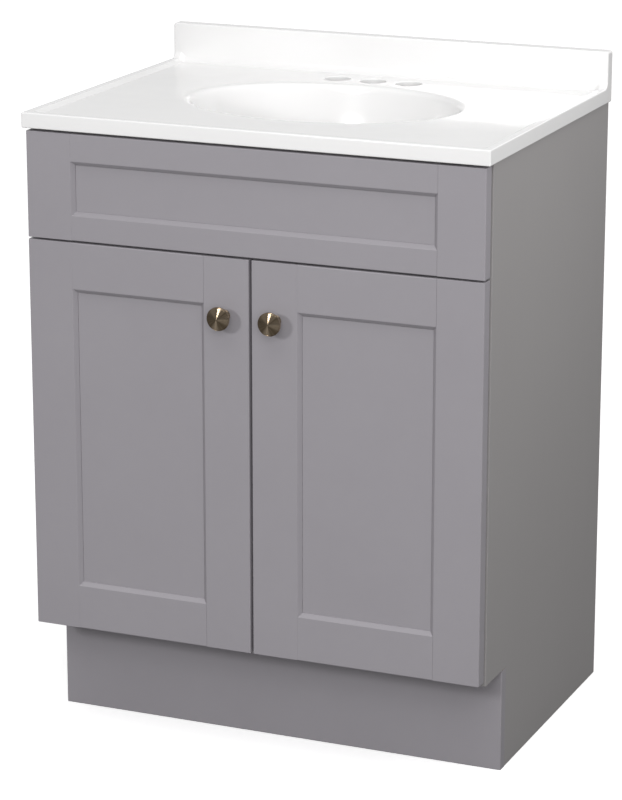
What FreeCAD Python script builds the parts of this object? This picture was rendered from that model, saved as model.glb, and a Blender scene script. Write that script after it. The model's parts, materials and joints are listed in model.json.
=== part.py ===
import FreeCAD, Part
import math
import os

from FreeCAD import Vector

os.makedirs("parts", exist_ok=True)

# A two-door bathroom vanity cabinet with a one-piece cast top, in millimetres.
# X runs left to right, Y from the front to the wall, Z up from the floor.
# The origin is on the floor, in the middle of the whole object's footprint.

# --- driving dimensions ---------------------------------------------------------------
top_width = 622.3           # 24.5 in
top_depth = 463.7           # 18.25 in
top_thickness = 19.7
splash_height = 48.0        # above the rim of the top
splash_thickness = 18.3
cabinet_width = 614.8
cabinet_depth = 441.0       # wall to the front edges of the side panels
cabinet_height = 794.0      # floor to the underside of the top
board = 15.0                # particle board of the cabinet box
toe_height = 134.0
toe_depth = 381.0           # wall to the front of the toe-kick board
front_face = 462.0          # wall to the face of the doors
front_thickness = 18.5      # doors and false drawer front
fronts_width = 611.5
door_gap = 3.5              # between the two doors
door_bottom = 140.5
door_top = 652.6
drawer_front_bottom = 655.1
drawer_front_top = 791.0
stile_width = 61.0
knob_projection = 25.0
knob_height = 579.5
knob_to_middle = 34.3       # knob centre to the middle of the cabinet

# --- frame-and-panel fronts -----------------------------------------------------------
bevel = 5.0                 # the 45 degree bevel round each panel
bevel_lip = 0.6
panel_thickness = 5.5
groove_depth = 8.0
panel_play = 0.5
edge_round = 1.5
door_rails = {"top": 60.0, "bottom": 58.0}
drawer_front_rails = {"top": 35.0, "bottom": 32.0}

# --- cast top -------------------------------------------------------------------------
rim_width = 9.0             # flat on top of the raised rim
rim_slope = 9.0             # ramp from the rim down to the deck
deck_drop = 4.5
bowl_half_width = 178.0      # inside the rounded edge
bowl_half_depth = 128.0
bowl_centre = 227.0         # from the wall
bowl_deep = 133.0           # deck to the drain seat
bowl_roll = 12.0            # rounded edge of the bowl
bowl_wall = 8.0
drain_radius = 22.2
drain_boss_radius = 34.0
drain_boss_height = 6.0
faucet_radius = 17.45
faucet_spacing = 50.8       # three holes on 4 in centres
faucet_line = 61.0          # from the wall
splash_cove = 9.0

# --- hinges: a single-pivot concealed hinge, two to a door ----------------------------
hinge_from_end = 90.0
pivot_from_edge = 6.3       # door edge to the pin
pivot_depth = 9.5           # door back to the pin
cup_radius = 17.5
cup_from_edge = 2.6
cup_depth = 13.2
pin_radius = 1.1
pin_half_length = 8.0
running_gap = 0.05
knuckle_radius = 2.2
neck_half_height = 4.0
neck_thickness = 1.6
arm_reach = 13.7            # pin to the straight part of the arm
arm_drop = 1.2

# --- derived places -------------------------------------------------------------------
wall_y = (front_face + knob_projection) / 2
rim_z = cabinet_height + top_thickness
deck_z = rim_z - deck_drop
half_width = cabinet_width / 2
inner_half = half_width - board
door_width = (fronts_width - door_gap) / 2
door_back = front_face - front_thickness
rail_front = cabinet_depth
screw_gap = 0.05


def y_at(depth):
    """Y of a plane at the given distance from the wall."""
    return wall_y - depth


def block(x0, x1, depth0, depth1, z0, z1):
    """A box between two X, two distances from the wall and two heights."""
    corner = Vector(min(x0, x1), y_at(max(depth0, depth1)), min(z0, z1))
    return Part.makeBox(abs(x1 - x0), abs(depth1 - depth0), abs(z1 - z0), corner)


def rod(radius, start, end):
    """A round rod between two points."""
    along = end.sub(start)
    return Part.makeCylinder(radius, along.Length, start, along)


def plate(outline, z0, z1):
    """A prism from (x, depth) points, standing between two heights."""
    points = [Vector(x, y_at(depth), z0) for x, depth in outline]
    face = Part.Face(Part.makePolygon(points + [points[0]]))
    return face.extrude(Vector(0, 0, z1 - z0))


def turned(profile, centre, axis_to):
    """A turned solid from (radius, distance) points along an axis from centre."""
    points = [Vector(radius, 0, distance) for radius, distance in profile]
    face = Part.Face(Part.makePolygon(points + [points[0]]))
    solid = face.revolve(Vector(0, 0, 0), Vector(0, 0, 1), 360)
    solid.Placement = FreeCAD.Placement(centre, FreeCAD.Rotation(Vector(0, 0, 1), axis_to))
    return solid


def mirrored(shape):
    return shape.mirror(Vector(0, 0, 0), Vector(1, 0, 0))


def for_side(shape, side):
    """Everything is drawn for the left side, and mirrored for the right."""
    return shape if side == "left" else mirrored(shape)


def rounded(shape, radius, wanted):
    """Fillet the straight edges whose two ends both satisfy wanted(point)."""
    edges = [e for e in shape.Edges if all(wanted(v.Point) for v in e.Vertexes)]
    return shape.makeFillet(radius, edges)


def near(a, b):
    return abs(a - b) < 1e-3


def save(name, *solids):
    shape = solids[0] if len(solids) == 1 else Part.makeCompound(list(solids))
    shape.exportStep(f"parts/{name}.step")


def cut_all(shape, tools):
    for tool in tools:
        shape = shape.cut(tool)
    return shape


# --- cast top -------------------------------------------------------------------------
def rounded_rectangle(half_x, depth0, depth1, radius, z):
    base = block(-half_x, half_x, depth0, depth1, z, z + 1)
    upright = [e for e in base.Edges if near(e.Length, 1)]
    solid = base.makeFillet(radius, upright)
    lowest = min(solid.Faces, key=lambda f: f.CenterOfMass.z)
    return lowest.OuterWire


def oval_loft(sections):
    """A smooth solid through level ovals, each (half width, half depth, height)."""
    centre_y = y_at(bowl_centre)
    wires = []
    for half_x, half_y, z in sections:
        wires.append(Part.Wire([Part.Ellipse(Vector(0, centre_y, z), half_x, half_y).toShape()]))
    return Part.makeLoft(wires, True, False)


def bowl_sections(grow):
    """Share of the bowl's width at shares of its depth, from the wall to the drain seat."""
    sections = []
    for width_share, depth_share in ((0.955, 0.36), (0.83, 0.68), (0.58, 0.91), (0.3, 1.0)):
        half_x = bowl_half_width * width_share + grow
        half_y = bowl_half_depth * width_share + grow
        sections.append((half_x, half_y, deck_z - bowl_deep * depth_share - grow))
    return sections


def bowl_cavity():
    lip = []
    for out, down in ((1.0, 0.0), (0.35, 0.2), (0.0, 0.8)):
        grow = bowl_roll * out
        lip.append((bowl_half_width + grow, bowl_half_depth + grow, deck_z - bowl_roll * down))
    return oval_loft(lip + bowl_sections(0))


def bowl_shell():
    top = (bowl_half_width + bowl_wall, bowl_half_depth + bowl_wall, cabinet_height + 3)
    return oval_loft([top] + bowl_sections(bowl_wall))


def splash_fillet(half_length):
    """Concave quarter round where the deck meets the backsplash."""
    corner = Vector(-half_length, y_at(splash_thickness), deck_z)
    low = corner.sub(Vector(0, splash_cove, 0))
    high = corner.add(Vector(0, 0, splash_cove))
    inset = splash_cove * (1 - math.sqrt(0.5))
    middle = corner.add(Vector(0, -inset, inset))
    edges = [
        Part.Arc(low, middle, high).toShape(),
        Part.makeLine(high, corner),
        Part.makeLine(corner, low),
    ]
    return Part.Face(Part.Wire(edges)).extrude(Vector(2 * half_length, 0, 0))


def vanity_top():
    half = top_width / 2
    slab = block(-half, half, 0, top_depth, cabinet_height, rim_z)
    splash = block(-half, half, 0, splash_thickness, cabinet_height, rim_z + splash_height)
    inset = rim_width + rim_slope
    upper = rounded_rectangle(half - rim_width, splash_thickness, top_depth - rim_width, 8, rim_z)
    lower = rounded_rectangle(half - inset, splash_thickness, top_depth - inset, 6, deck_z)
    body = slab.cut(Part.makeLoft([upper, lower], True, True)).fuse(splash)
    body = body.fuse(splash_fillet(half - inset))

    seat = Vector(0, y_at(bowl_centre), deck_z - bowl_deep - bowl_wall - drain_boss_height)
    boss = Part.makeCylinder(drain_boss_radius, bowl_wall + drain_boss_height - 1, seat)
    body = body.fuse(bowl_shell()).fuse(boss).cut(bowl_cavity())
    body = body.cut(Part.makeCylinder(drain_radius, 60, seat.sub(Vector(0, 0, 10))))
    for step in (-1, 0, 1):
        foot = Vector(step * faucet_spacing, y_at(faucet_line), cabinet_height - 5)
        body = body.cut(Part.makeCylinder(faucet_radius, 40, foot))
    save("vanity_top", body)


# --- cabinet box ----------------------------------------------------------------------
dowel_radius = 4.0
dowel_length = 30.0
dowel_in_side = 10.0
dowels = []


def dowel(start, along):
    """Add a wooden dowel, and return the bore that holds it."""
    end = start.add(along * dowel_length)
    dowels.append(rod(dowel_radius, start, end))
    return rod(dowel_radius + screw_gap, start.sub(along * 0.5), end.add(along * 0.5))


def side_dowels(depths, heights):
    """Bores for dowels across both side joints, at each depth and height."""
    bores = []
    for depth in depths:
        for height in heights:
            for side in (-1, 1):
                start = Vector(side * (inner_half + dowel_in_side), y_at(depth), height)
                bores.append(dowel(start, Vector(-side, 0, 0)))
    return bores


front_rails = {
    "front_top_rail": (724.0, cabinet_height),
    "front_mid_rail": (634.0, 674.0),
}
back_rails = {
    "back_top_rail": (714.0, cabinet_height),
    "back_bottom_rail": (toe_height + board, toe_height + board + 60.0),
}
wall_screw_spacing = 406.4   # two wall studs, 16 in apart
wall_screw_radius = 2.5


dowel_from_front_rail_edge = 10.0
dowel_from_back_rail_edge = 15.0
floor_dowel_depths = (60.0, 220.0, 380.0)
kick_dowel_heights = (35.0, 100.0)
side_front_round = 1.0


def wall_holes(z):
    """Clearance holes for the two screws that hold the cabinet to the wall studs."""
    half = wall_screw_spacing / 2
    return [
        rod(wall_screw_radius, Vector(x, y_at(-5), z), Vector(x, y_at(board + 5), z))
        for x in (-half, half)
    ]


def cabinet_rails(fasteners):
    """Front and back rails between the sides. Returns the bores that the sides need."""
    bores = []
    for name, (low, high) in front_rails.items():
        middle = rail_front - board / 2
        own = side_dowels([middle], [low + dowel_from_front_rail_edge, high - dowel_from_front_rail_edge])
        rail = block(-inner_half, inner_half, rail_front - board, rail_front, low, high)
        save(name, cut_all(rail, own + drawer_front_bores() + fasteners))
        bores += own
    for name, (low, high) in back_rails.items():
        own = side_dowels([board / 2], [low + dowel_from_back_rail_edge, high - dowel_from_back_rail_edge])
        rail = block(-inner_half, inner_half, 0, board, low, high)
        holes = wall_holes((low + high) / 2) if name == "back_top_rail" else []
        save(name, cut_all(rail, own + holes + fasteners))
        bores += own
    return bores


def floor_panel():
    bores = side_dowels(floor_dowel_depths, [toe_height + board / 2])
    panel = block(-inner_half, inner_half, 0, rail_front, toe_height, toe_height + board)
    save("floor_panel", cut_all(panel, bores))
    return bores


def toe_kick_board():
    bores = []
    for side in (-1, 1):
        for height in kick_dowel_heights:
            x = side * (half_width - board / 2)
            start = Vector(x, y_at(toe_depth - 3), height)
            bores.append(dowel(start, Vector(0, 1, 0)))
    kick = block(-half_width, half_width, toe_depth - board, toe_depth, 0, toe_height)
    kick = rounded(kick, edge_round, lambda p: near(p.y, y_at(toe_depth)))
    save("toe_kick_board", cut_all(kick, bores))
    return bores


def side_panels(bores):
    front = rail_front
    step = toe_depth - board
    panel = block(-half_width, -inner_half, 0, front, 0, cabinet_height)
    panel = panel.cut(block(-half_width - 1, -inner_half + 1, step, front + 1, -1, toe_height))
    panel = rounded(
        panel, side_front_round, lambda p: near(p.y, y_at(front)) and near(p.x, -half_width)
    )
    for side in ("left", "right"):
        save(f"side_panel_{side}", cut_all(for_side(panel, side), bores))


bracket_leg = 55.0
bracket_wall = 3.0
bracket_flange = 16.0
bracket_drop = 5.0           # below the underside of the top
bracket_screw_reach = 38.0   # from the corner
bracket_screw_rise = 6.5
bracket_screw_length = 12.0


def corner_brackets():
    """Moulded gussets that tie the rails to the sides and carry the top."""
    leg = bracket_leg
    wall = bracket_wall
    high = cabinet_height - bracket_drop
    low = high - bracket_flange
    screws = []
    front_inner = rail_front - board
    for end, depth, inward in (("front", front_inner, -1), ("back", board, 1)):
        corner_x = -inner_half
        web = plate(
            [(corner_x, depth), (corner_x + leg, depth), (corner_x, depth + inward * leg)],
            high - wall,
            high,
        )
        on_side = block(corner_x, corner_x + wall, depth, depth + inward * leg, low, high)
        on_rail = block(corner_x, corner_x + leg, depth, depth + inward * wall, low, high)
        body = web.fuse(on_side).fuse(on_rail)
        z = low + bracket_screw_rise
        reach = bracket_screw_reach
        side_point = Vector(corner_x + wall, y_at(depth + inward * reach), z)
        rail_point = Vector(corner_x + reach, y_at(depth + inward * wall), z)
        own = [
            wood_screw(side_point, Vector(-1, 0, 0), bracket_screw_length),
            wood_screw(rail_point, Vector(0, inward, 0), bracket_screw_length),
        ]
        for side in ("left", "right"):
            placed = [for_side(s, side) for s in own]
            save(f"corner_bracket_{end}_{side}", cut_all(for_side(body, side), placed))
            screws += placed
    save("bracket_screws", *screws)
    return screws


# --- screws ---------------------------------------------------------------------------
shank_radius = 1.75
screw_head_radius = 3.6


def wood_screw(under_head, along, length, shank=shank_radius, head=screw_head_radius):
    """A pan-head screw: the head stands on under_head, the shank goes along."""
    profile = [
        (0, 2.2),
        (head * 0.6, 2.1),
        (head * 0.9, 1.5),
        (head, 0.7),
        (head, 0),
        (shank, 0),
        (shank, -length + 3),
        (0, -length),
    ]
    return turned(profile, under_head, along.negative())


# --- drawer front and doors -----------------------------------------------------------
drawer_screw_bite = 12.0
drawer_screw_x = 150.0
drawer_screw_heights = (773.0, 664.0)
spacer_radius = 7.0
spacer_bore = 2.2


def frame_and_panel(prefix, x0, x1, z0, z1, rails, stile_bores):
    """Two stiles, two rails and a floating panel. stile_bores cut any of them."""
    face = y_at(front_face)
    back = y_at(door_back)
    edge_in = stile_width + bevel
    slot_front = face + bevel + bevel_lip
    slot_back = slot_front + panel_thickness

    def profile(width):
        """Section of a stile or rail, from its outer edge inwards: (inward, y)."""
        tip = width + bevel
        return [
            (0, back),
            (0, face),
            (width, face),
            (tip, face + bevel),
            (tip, slot_front),
            (tip - groove_depth, slot_front),
            (tip - groove_depth, slot_back),
            (tip, slot_back),
            (tip, back),
        ]

    def stile(outer_x, direction):
        points = [Vector(outer_x + direction * t, y, z0) for t, y in profile(stile_width)]
        solid = Part.Face(Part.makePolygon(points + [points[0]])).extrude(Vector(0, 0, z1 - z0))
        return rounded(
            solid,
            edge_round,
            lambda p: near(p.y, face)
            and not near(abs(p.x - outer_x), stile_width),
        )

    def rail(outer_z, direction, width):
        start = x0 + edge_in - groove_depth
        end = x1 - edge_in + groove_depth
        points = [Vector(start, y, outer_z + direction * t) for t, y in profile(width)]
        solid = Part.Face(Part.makePolygon(points + [points[0]])).extrude(Vector(end - start, 0, 0))
        return rounded(
            solid,
            edge_round,
            lambda p: near(p.y, face) and near(p.z, outer_z),
        )

    left = stile(x0, 1)
    right = stile(x1, -1)
    pieces = {"stile_left": left, "stile_right": right}
    for name, outer_z, direction in (("rail_top", z1, -1), ("rail_bottom", z0, 1)):
        width = rails[name.split("_")[1]]
        pieces[name] = rail(outer_z, direction, width).cut(left).cut(right)
    inset = bevel - groove_depth + panel_play
    pieces["panel"] = Part.makeBox(
        x1 - x0 - 2 * (stile_width + inset),
        panel_thickness,
        z1 - z0 - rails["top"] - rails["bottom"] - 2 * inset,
        Vector(x0 + stile_width + inset, slot_front, z0 + rails["bottom"] + inset),
    )
    for name, solid in pieces.items():
        save(f"{prefix}_{name}", cut_all(solid, stile_bores))


def drawer_front_screw_places():
    for x in (-drawer_screw_x, drawer_screw_x):
        for z in drawer_screw_heights:
            yield x, z


def drawer_front_bores():
    start = y_at(rail_front - board - 1)
    end = y_at(door_back + drawer_screw_bite + 0.5)
    return [
        rod(shank_radius + screw_gap, Vector(x, start, z), Vector(x, end, z))
        for x, z in drawer_front_screw_places()
    ]


def drawer_front():
    half = fronts_width / 2
    bores = drawer_front_bores()
    frame_and_panel(
        "drawer_front", -half, half, drawer_front_bottom, drawer_front_top,
        drawer_front_rails, bores,
    )
    screws = []
    spacers = []
    length = board + door_back - rail_front + drawer_screw_bite
    for x, z in drawer_front_screw_places():
        inside = Vector(x, y_at(rail_front - board), z)
        screws.append(wood_screw(inside, Vector(0, -1, 0), length))
        start = Vector(x, y_at(rail_front), z)
        end = Vector(x, y_at(door_back), z)
        spacers.append(rod(spacer_radius, start, end).cut(rod(spacer_bore, start, end)))
    save("drawer_front_screws", *screws)
    save("drawer_front_spacers", *spacers)


# --- hinges (drawn for the left door) -------------------------------------------------
left_edge = -fronts_width / 2
pin_x = left_edge + pivot_from_edge
pin_y = y_at(door_back + pivot_depth)
cup_x = left_edge + cup_from_edge + cup_radius
hinge_heights = {
    "upper": door_top - hinge_from_end,
    "lower": door_bottom + hinge_from_end,
}
cup_flange = 1.3             # past the cup's radius
cup_flange_thickness = 1.0
cup_wall = 1.8
cup_ear_half_width = 6.0
cup_ear_half_height = 28.0
cup_ear_round = 5.5
cup_slot_half_height = 4.6
cup_slot_depth = 12.4
cup_screw_offset = 9.5
cup_screw_spread = 22.5
cup_screw_radius = 1.75
cup_screw_shank = 1.7
cup_screw_length = 11.0
arm_channel_front = rail_front - 12.0
arm_channel_back = rail_front - 60.0
arm_channel_half = 7.0
arm_lip = 1.2
arm_screw_depth = rail_front - 47.0
arm_screw_radius = 2.0
arm_screw_length = 6.0
plate_thickness = 2.0
plate_half = 9.0
plate_wing_half = 22.0
plate_wing_reach = 7.0
plate_rail_half = 5.5
plate_screw_depth = rail_front - 37.0
plate_screw_spread = 16.0
plate_screw_length = 14.0


def hinge_cup(z):
    """The cup pressed into the door, with its flange and the slot for the arm."""
    back = y_at(door_back)
    centre = Vector(cup_x, back, z)
    deep = Vector(0, -1, 0)
    cup = Part.makeCylinder(cup_radius, cup_depth, centre, deep)
    thin = cup_flange_thickness
    flange = Part.makeCylinder(cup_radius + cup_flange, thin, centre, deep.negative())
    ear_x = cup_x + cup_screw_offset
    ears = block(
        ear_x - cup_ear_half_width,
        ear_x + cup_ear_half_width,
        door_back - thin,
        door_back,
        z - cup_ear_half_height,
        z + cup_ear_half_height,
    )
    ears = ears.makeFillet(cup_ear_round, [e for e in ears.Edges if near(e.Length, thin)])
    body = cup.fuse(flange).fuse(ears)
    slot = block(
        pin_x - 2.5,
        left_edge + 22.5,
        door_back - 2,
        door_back + cup_slot_depth,
        z - cup_slot_half_height,
        z + cup_slot_half_height,
    )
    dish = Part.makeCylinder(cup_radius - cup_wall, 10, centre.add(Vector(0, 2, 0)), deep)
    knuckle_block = block(cup_x - 20, left_edge + 11.5, door_back - 5, door_back + 12, z - 20, z + 20)
    dish = dish.cut(knuckle_block)
    body = body.cut(slot).cut(dish)
    half_pin = Vector(0, 0, pin_half_length)
    pin_at = Vector(pin_x, pin_y, z)
    body = body.cut(rod(pin_radius, pin_at.sub(half_pin), pin_at.add(half_pin)))
    return cut_all(body, [rod(cup_screw_radius, s, e) for s, e in cup_screw_lines(z)])


def cup_screw_lines(z):
    x = cup_x + cup_screw_offset
    for spread in (-cup_screw_spread, cup_screw_spread):
        yield Vector(x, y_at(door_back - 1), z + spread), Vector(x, y_at(door_back + 11), z + spread)


def hinge_pin(z):
    half_pin = Vector(0, 0, pin_half_length)
    pin_at = Vector(pin_x, pin_y, z)
    return rod(pin_radius, pin_at.sub(half_pin), pin_at.add(half_pin))


def hinge_arm(z):
    """Knuckle on the pin, a hooked neck out of the cup, and a channel over the plate."""
    half = neck_thickness / 2
    x_line = pin_x + arm_reach
    y_line = pin_y - arm_drop
    low = z - neck_half_height
    height = 2 * neck_half_height
    knuckle = Part.makeCylinder(knuckle_radius, height, Vector(pin_x, pin_y, low))
    slope = math.atan2(arm_drop, arm_reach)
    reach = Part.makeBox(arm_reach / math.cos(slope), neck_thickness, height)
    reach.translate(Vector(0, -half, 0))
    reach.rotate(Vector(0, 0, 0), Vector(0, 0, 1), -math.degrees(slope))
    reach.translate(Vector(pin_x, pin_y, low))
    bend = Part.makeCylinder(half, height, Vector(x_line, y_line, low))
    channel_front = y_at(arm_channel_front)
    neck = Part.makeBox(neck_thickness, channel_front - y_line, height, Vector(x_line - half, y_line, low))
    channel_length = y_at(arm_channel_back) - channel_front
    channel = Part.makeBox(
        neck_thickness,
        channel_length,
        2 * arm_channel_half,
        Vector(x_line - half, channel_front, z - arm_channel_half),
    )
    body = knuckle.fuse(reach).fuse(bend).fuse(neck).fuse(channel)
    for side in (-arm_channel_half, arm_channel_half - arm_lip):
        lip_foot = Vector(x_line - half - 3.4, channel_front, z + side)
        lip = Part.makeBox(4.2, channel_length, arm_lip, lip_foot)
        body = body.fuse(lip)
    bore = Part.makeCylinder(pin_radius + running_gap, height + 2, Vector(pin_x, pin_y, low - 1))
    return body.cut(bore).cut(arm_screw_bore(z))


def arm_screw_place(z):
    return Vector(pin_x + arm_reach + neck_thickness / 2, y_at(arm_screw_depth), z)


def arm_screw_bore(z):
    place = arm_screw_place(z)
    end = place.sub(Vector(arm_screw_length, 0, 0))
    return rod(arm_screw_radius + screw_gap, place.add(Vector(1, 0, 0)), end)


def hinge_plate(z):
    """The mounting plate screwed to the side panel, with the raised rail of the arm."""
    x = -inner_half
    face = x + plate_thickness
    body = block(x, face, rail_front - 62, rail_front - 18, z - plate_half, z + plate_half)
    wing_near = plate_screw_depth - plate_wing_reach
    wing_far = plate_screw_depth + plate_wing_reach
    wings = block(x, face, wing_near, wing_far, z - plate_wing_half, z + plate_wing_half)
    top = pin_x + arm_reach - neck_thickness / 2
    rail = block(face, top, rail_front - 59, rail_front - 20, z - plate_rail_half, z + plate_rail_half)
    body = body.fuse(wings).fuse(rail)
    return cut_all(body, plate_screw_bores(z) + [arm_screw_bore(z)])


def plate_screw_bores(z):
    bores = []
    for spread in (-plate_screw_spread, plate_screw_spread):
        place = Vector(-inner_half + plate_thickness + 1, y_at(plate_screw_depth), z + spread)
        end = place.sub(Vector(plate_screw_length + 1.5, 0, 0))
        bores.append(rod(shank_radius + screw_gap, place, end))
    return bores


def hinges(side):
    pins = []
    cup_screws = []
    for level, z in hinge_heights.items():
        save(f"{side}_hinge_cup_{level}", for_side(hinge_cup(z), side))
        save(f"{side}_hinge_arm_{level}", for_side(hinge_arm(z), side))
        save(f"{side}_hinge_plate_{level}", for_side(hinge_plate(z), side))
        pins.append(for_side(hinge_pin(z), side))
        for start, end in cup_screw_lines(z):
            screw = wood_screw(start, Vector(0, -1, 0), cup_screw_length, cup_screw_shank)
            cup_screws.append(for_side(screw, side))
    save(f"{side}_hinge_pins", *pins)
    save(f"{side}_hinge_cup_screws", *cup_screws)


def hinge_screws():
    plate_screws = []
    arm_screws = []
    for side in ("left", "right"):
        for z in hinge_heights.values():
            for spread in (-plate_screw_spread, plate_screw_spread):
                place = Vector(-inner_half + plate_thickness, y_at(plate_screw_depth), z + spread)
                screw = wood_screw(place, Vector(-1, 0, 0), plate_screw_length)
                plate_screws.append(for_side(screw, side))
            inward = Vector(-1, 0, 0)
            screw = wood_screw(arm_screw_place(z), inward, arm_screw_length, arm_screw_radius, 3.4)
            arm_screws.append(for_side(screw, side))
    save("hinge_plate_screws", *plate_screws)
    save("hinge_arm_screws", *arm_screws)


# --- doors ----------------------------------------------------------------------------
knob_screw_radius = 2.0
knob_screw_play = 0.25
knob_head_radius = 15.0
bumper_radius = 3.5
bumper_height = 2.4
bumper_from_edge = 12.0


def knob_screw_line():
    start = Vector(-knob_to_middle, y_at(door_back), knob_height)
    return start, start.sub(Vector(0, front_thickness + 9, 0))


def door_bores():
    """Everything cut into the left door: hinge cups, their screws, and the knob screw."""
    bores = []
    for z in hinge_heights.values():
        centre = Vector(cup_x, y_at(door_back), z)
        bores.append(Part.makeCylinder(cup_radius + screw_gap, cup_depth, centre, Vector(0, -1, 0)))
        for start, end in cup_screw_lines(z):
            bores.append(rod(cup_screw_radius, start, end))
    start, end = knob_screw_line()
    bores.append(rod(knob_screw_radius + knob_screw_play, start.add(Vector(0, 1, 0)), end))
    return bores


def knob(side):
    """A round knob: a slim stem that flares into a head with a shallow dished cone."""
    base = Vector(-knob_to_middle, y_at(front_face), knob_height)
    profile = [
        (0, 0),
        (7.5, 0),
        (7.5, 1.2),
        (6.2, 2.4),
        (5.4, 6),
        (5.6, 10),
        (7.5, 13.5),
        (11.5, 16.2),
        (14.4, 17.6),
        (knob_head_radius, 19.2),
        (knob_head_radius, 20.6),
        (14.2, 21.6),
        (2.5, knob_projection - 0.2),
        (0, knob_projection),
    ]
    body = turned(profile, base, Vector(0, -1, 0))
    start, end = knob_screw_line()
    save(f"{side}_knob", for_side(body.cut(rod(knob_screw_radius + screw_gap, start, end)), side))
    screw = wood_screw(start, Vector(0, -1, 0), front_thickness + 8.5, knob_screw_radius, 4.2)
    save(f"{side}_knob_screw", for_side(screw, side))


def doors():
    bores = door_bores()
    for side, x0 in (("left", left_edge), ("right", -left_edge - door_width)):
        own = [for_side(b, side) for b in bores]
        frame_and_panel(
            f"{side}_door", x0, x0 + door_width, door_bottom, door_top, door_rails, own
        )
        knob(side)
        hinges(side)
        bumpers = []
        for z in (door_top - 9, door_bottom + 4.3):
            start = Vector(-door_gap / 2 - bumper_from_edge, y_at(door_back), z)
            pad = Part.makeCylinder(bumper_radius, bumper_height, start, Vector(0, 1, 0))
            bumpers.append(for_side(pad, side))
        save(f"{side}_door_bumpers", *bumpers)


vanity_top()
bracket_screws = corner_brackets()
side_bores = cabinet_rails(bracket_screws) + floor_panel() + toe_kick_board()
for height in hinge_heights.values():
    for bore in plate_screw_bores(height):
        side_bores += [bore, mirrored(bore)]
side_panels(side_bores + bracket_screws)
save("panel_dowels", *dowels)
drawer_front()
doors()
hinge_screws()
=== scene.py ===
# Bathroom vanity cabinet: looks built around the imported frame
import json
import math

import bmesh
import bpy
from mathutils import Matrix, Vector

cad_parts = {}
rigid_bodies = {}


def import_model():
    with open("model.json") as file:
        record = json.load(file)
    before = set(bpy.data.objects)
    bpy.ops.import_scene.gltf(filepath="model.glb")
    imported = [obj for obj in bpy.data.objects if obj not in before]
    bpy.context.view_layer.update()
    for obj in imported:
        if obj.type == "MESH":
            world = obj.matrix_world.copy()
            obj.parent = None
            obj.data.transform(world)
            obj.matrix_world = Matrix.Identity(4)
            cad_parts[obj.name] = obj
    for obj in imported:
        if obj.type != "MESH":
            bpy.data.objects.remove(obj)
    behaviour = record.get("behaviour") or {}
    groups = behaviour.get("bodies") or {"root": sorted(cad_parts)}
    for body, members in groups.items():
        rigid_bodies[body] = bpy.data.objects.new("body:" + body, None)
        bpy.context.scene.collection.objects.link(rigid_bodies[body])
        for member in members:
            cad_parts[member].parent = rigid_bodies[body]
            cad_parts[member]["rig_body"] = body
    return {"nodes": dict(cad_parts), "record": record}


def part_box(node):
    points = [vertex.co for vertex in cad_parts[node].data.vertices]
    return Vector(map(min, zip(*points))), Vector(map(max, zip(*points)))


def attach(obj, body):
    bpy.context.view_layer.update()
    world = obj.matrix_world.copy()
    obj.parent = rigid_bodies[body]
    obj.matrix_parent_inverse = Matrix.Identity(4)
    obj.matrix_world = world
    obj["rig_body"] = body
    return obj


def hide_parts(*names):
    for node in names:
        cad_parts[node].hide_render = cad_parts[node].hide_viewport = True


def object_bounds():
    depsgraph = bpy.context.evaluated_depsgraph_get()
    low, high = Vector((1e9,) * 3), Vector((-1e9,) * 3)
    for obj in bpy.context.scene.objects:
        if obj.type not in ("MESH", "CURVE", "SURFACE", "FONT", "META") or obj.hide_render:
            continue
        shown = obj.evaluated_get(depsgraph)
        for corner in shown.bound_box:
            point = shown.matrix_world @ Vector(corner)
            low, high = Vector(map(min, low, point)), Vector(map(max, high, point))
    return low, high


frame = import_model()
cadLow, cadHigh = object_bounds()
nodes = frame["nodes"]
tiny = 1e-5
print("frame loaded:", len(nodes), "nodes")


# camera at standing height, to the right of the cabinet
view = {
    "place": (1.526, -3.615, 1.529),
    "pitchDown": 15.81,
    "turn": 23.04,
    "lens": 140.5,
}


def makeCamera():
    bpy.ops.object.camera_add(location=view["place"])
    camera = bpy.context.object
    camera.rotation_euler = (math.radians(90 - view["pitchDown"]), 0, math.radians(view["turn"]))
    camera.data.lens = view["lens"]
    camera.data.clip_end = 100
    bpy.context.scene.camera = camera


# soft boxes, a broad light from above, a sky that differs by direction, and the floor
light = {
    "key": {"place": (-0.95, -2.95, 1.55), "aim": (0, 0, 0.5),
            "size": 0.38, "watts": 25, "mirrored": True},
    "fill": {"place": (1.35, -2.75, 1.55), "aim": (0, 0, 0.5),
             "size": 2.0, "watts": 51, "mirrored": False},
    "side": {"place": (1.20, -0.05, 1.05), "aim": (0, 0, 1.3),
             "size": 0.5, "watts": 4.2, "mirrored": False},
    "topStrength": 0.72,
    "topAngle": 50,
    "topFrom": (0.1, -0.3, 1.0),
    "skyAbove": 0.70,
    "aboveBand": (0.3, 0.9),
    "skyLevel": 0.32,
    "horizonBand": (-0.2, 0.08),
    "skyBelow": 0.2,
    "skyBehind": 0.95,
    "behindBand": (0.0, 0.8),
    "floorSize": 60,
    "floorSeen": (0.93, 0.93, 0.93, 1),
    "floorGlow": 0.40,
    "floorBounce": (0.19, 0.19, 0.19, 1),
}


def addSoftbox(name):
    values = light[name]
    bpy.ops.object.light_add(type="AREA", location=values["place"])
    box = bpy.context.object
    box.name = name + "Softbox"
    toward = Vector(values["place"]) - Vector(values["aim"])
    box.rotation_euler = toward.to_track_quat("Z", "Y").to_euler()
    box.data.size = values["size"]
    box.data.energy = values["watts"]
    box.visible_glossy = values["mirrored"]


def addTopLight():
    bpy.ops.object.light_add(type="SUN", location=(0, 0, 3))
    sun = bpy.context.object
    sun.name = "topLight"
    sun.rotation_euler = Vector(light["topFrom"]).to_track_quat("Z", "Y").to_euler()
    sun.data.energy = light["topStrength"]
    sun.data.angle = math.radians(light["topAngle"])


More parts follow.
